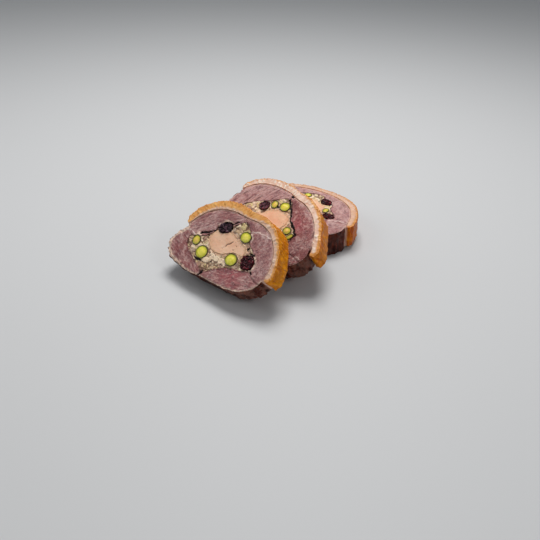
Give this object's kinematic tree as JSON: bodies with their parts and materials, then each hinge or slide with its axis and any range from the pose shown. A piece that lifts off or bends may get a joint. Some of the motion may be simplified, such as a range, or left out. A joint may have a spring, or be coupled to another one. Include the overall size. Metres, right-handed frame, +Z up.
{
  "type": "duck ballotine",
  "caption": "Row of leaning slices of stuffed rolled duck breast: skin and fat cap, pink muscle, coarse forcemeat with foie gras, pistachios and dried berries.",
  "frame": {"origin": "centre of the bounding box, at the surface the slices rest on", "axes": "+X along the row from the front slice to the back one, +Z up; the cut faces look towards -X and up"},
  "size_m": [0.1358, 0.0954, 0.0454],
  "materials": {
    "skin": "roasted duck skin over pale fat, oily sheen",
    "meat": "rosy cooked duck muscle, moist cut face",
    "filling": "coarse pale forcemeat with dark flecks",
    "foie_gras": "smooth foie gras, slightly moist",
    "pistachio": "cut pistachio, yellow green",
    "berry": "dark wrinkled dried berry"
  },
  "bodies": {
    "root": {"back_berry_1": "berry", "back_berry_2": "berry", "back_berry_behind_1": "berry", "back_filling": "filling", "back_foie_gras": "foie_gras", "back_meat_foot": "meat", "back_meat_left": "meat", "back_meat_near": "meat", "back_meat_top": "meat", "back_pistachio_1": "pistachio", "back_pistachio_2": "pistachio", "back_pistachio_3": "pistachio", "back_pistachio_behind_1": "pistachio", "back_pistachio_behind_2": "pistachio", "back_skin": "skin", "front_berry_1": "berry", "front_berry_2": "berry", "front_berry_behind_1": "berry", "front_filling": "filling", "front_foie_gras": "foie_gras", "front_meat_foot": "meat", "front_meat_left": "meat", "front_meat_near": "meat", "front_meat_top": "meat", "front_pistachio_1": "pistachio", "front_pistachio_2": "pistachio", "front_pistachio_3": "pistachio", "front_pistachio_4": "pistachio", "front_pistachio_behind_1": "pistachio", "front_pistachio_behind_2": "pistachio", "front_skin": "skin", "middle_berry_1": "berry", "middle_berry_2": "berry", "middle_berry_behind_1": "berry", "middle_filling": "filling", "middle_foie_gras": "foie_gras", "middle_meat_foot": "meat", "middle_meat_left": "meat", "middle_meat_near": "meat", "middle_meat_top": "meat", "middle_pistachio_1": "pistachio", "middle_pistachio_2": "pistachio", "middle_pistachio_3": "pistachio", "middle_pistachio_4": "pistachio", "middle_pistachio_5": "pistachio", "middle_pistachio_behind_1": "pistachio", "middle_pistachio_behind_2": "pistachio", "middle_skin": "skin"}
  },
  "joints": []
}
